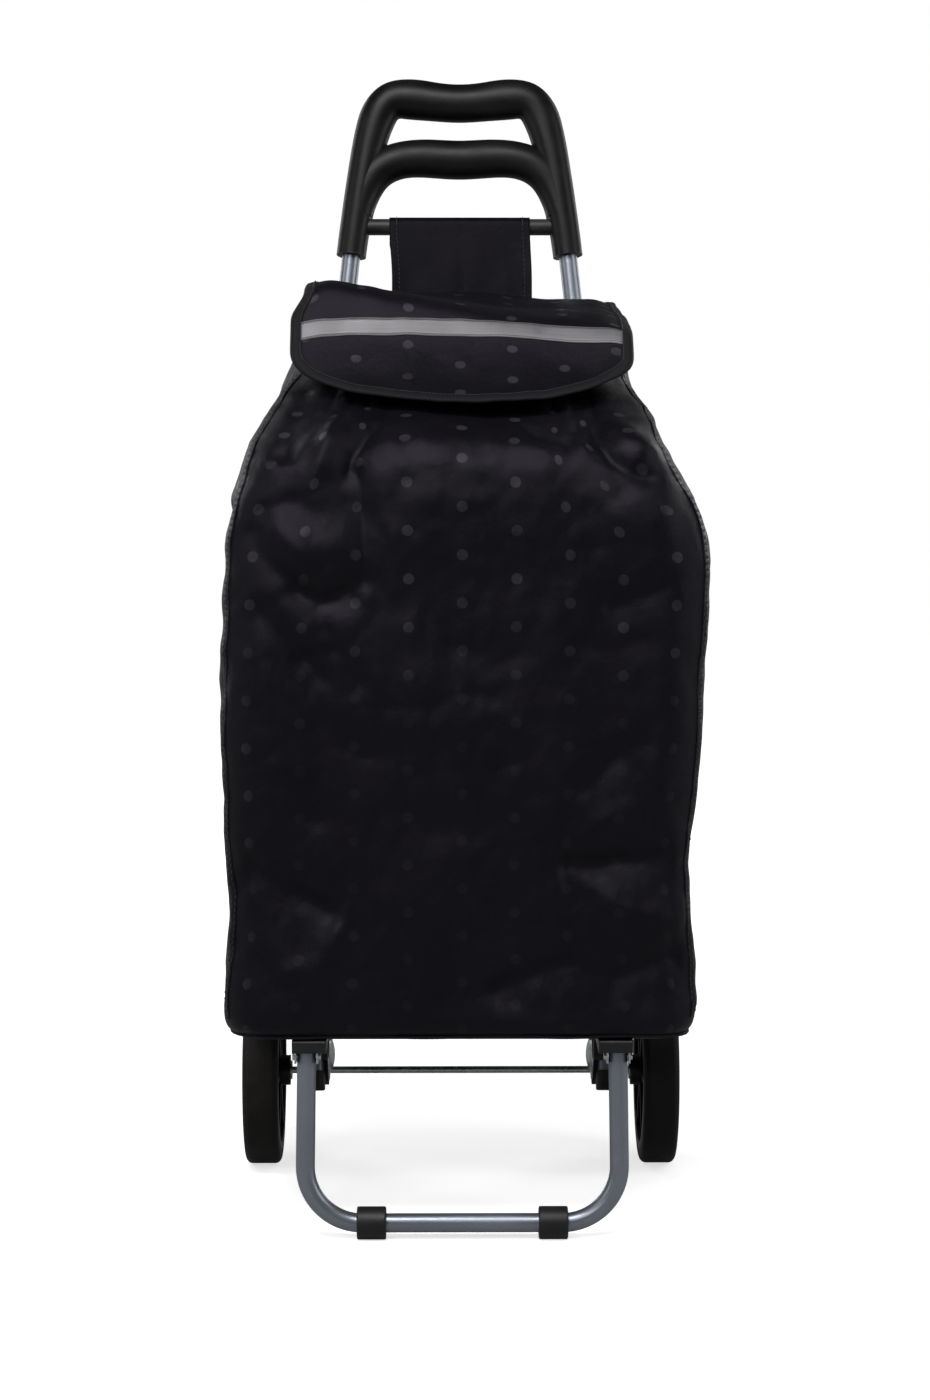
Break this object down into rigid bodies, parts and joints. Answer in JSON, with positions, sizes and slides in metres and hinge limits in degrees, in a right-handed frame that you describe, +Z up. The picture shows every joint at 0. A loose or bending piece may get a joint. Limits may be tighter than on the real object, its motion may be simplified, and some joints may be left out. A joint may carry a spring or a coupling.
{
  "type": "shopping trolley",
  "caption": "Two-wheeled shopping trolley with a gathered fabric bag, lid flap, twin-bar handle and folding front stand.",
  "frame": {"origin": "on the floor, under the middle of the trolley's outline", "axes": "+Z up, +X to the right seen from the front, +Y towards the back, where the handle and wheels are"},
  "size_m": [0.39, 0.4261, 0.9435],
  "materials": {
    "tube_paint": "satin",
    "handle_plastic": "gloss",
    "black_plastic": "matte",
    "zinc": "satin",
    "black_paint": "satin",
    "tyre_rubber": "matte",
    "wheel_plastic": "satin",
    "nylon": "matte",
    "bag_fabric": "woven",
    "binding_tape": "woven",
    "reflective_tape": "satin",
    "board": "matte"
  },
  "bodies": {
    "frame": {"axle": "zinc", "axle_bracket_left": "black_plastic", "axle_bracket_right": "black_plastic", "axle_cap_left": "black_plastic", "axle_cap_right": "black_plastic", "axle_plate_left": "zinc", "axle_plate_right": "zinc", "bag_base_board": "board", "bag_body": "bag_fabric", "bag_tie_left": "binding_tape", "bag_tie_right": "binding_tape", "bottom_piping": "binding_tape", "bracket_bolts_left": "zinc", "bracket_bolts_right": "zinc", "cross_brace": "tube_paint", "front_joint_left": "black_plastic", "front_joint_right": "black_plastic", "handle_front_shell": "handle_plastic", "handle_rear_shell": "handle_plastic", "handle_screws": "zinc", "hanger_bar": "black_plastic", "hanger_panel": "bag_fabric", "inner_washer_left": "zinc", "inner_washer_right": "zinc", "mouth_hem": "bag_fabric", "outer_washer_left": "zinc", "outer_washer_right": "zinc", "platform_bar_middle": "black_paint", "platform_bar_rear": "black_paint", "platform_rail_left": "black_paint", "platform_rail_right": "black_paint", "stand_clevis_left": "zinc", "stand_clevis_right": "zinc", "stand_rivets": "zinc", "tie_studs": "zinc", "upright_end_cap_left": "black_plastic", "upright_end_cap_right": "black_plastic", "upright_left": "tube_paint", "upright_right": "tube_paint"},
    "wheel_left": {"tyre_left": "tyre_rubber", "wheel_bush_left": "nylon", "wheel_left": "wheel_plastic"},
    "wheel_right": {"tyre_right": "tyre_rubber", "wheel_bush_right": "nylon", "wheel_right": "wheel_plastic"},
    "stand": {"stand_foot_left": "black_plastic", "stand_foot_right": "black_plastic", "stand_plug_left": "black_plastic", "stand_plug_right": "black_plastic", "stand_tube": "tube_paint"},
    "flap": {"bag_flap": "bag_fabric", "flap_binding": "binding_tape", "reflective_strip": "reflective_tape"}
  },
  "joints": [
    {"name": "wheel_left_spin", "type": "hinge", "parent": "frame", "child": "wheel_left", "pos_m": [-0.1695, 0.057, 0.08], "axis": [1, 0, 0], "continuous": true},
    {"name": "wheel_right_spin", "type": "hinge", "parent": "frame", "child": "wheel_right", "pos_m": [0.1695, 0.057, 0.08], "axis": [1, 0, 0], "continuous": true},
    {"name": "stand_fold", "type": "hinge", "parent": "frame", "child": "stand", "pos_m": [0, -0.193, 0.144], "axis": [1, 0, 0], "range_deg": [0, 84]},
    {"name": "flap_lift", "type": "hinge", "parent": "frame", "child": "flap", "pos_m": [0, 0.14813, 0.751], "axis": [-1, 0, 0], "range_deg": [0, 95]}
  ]
}
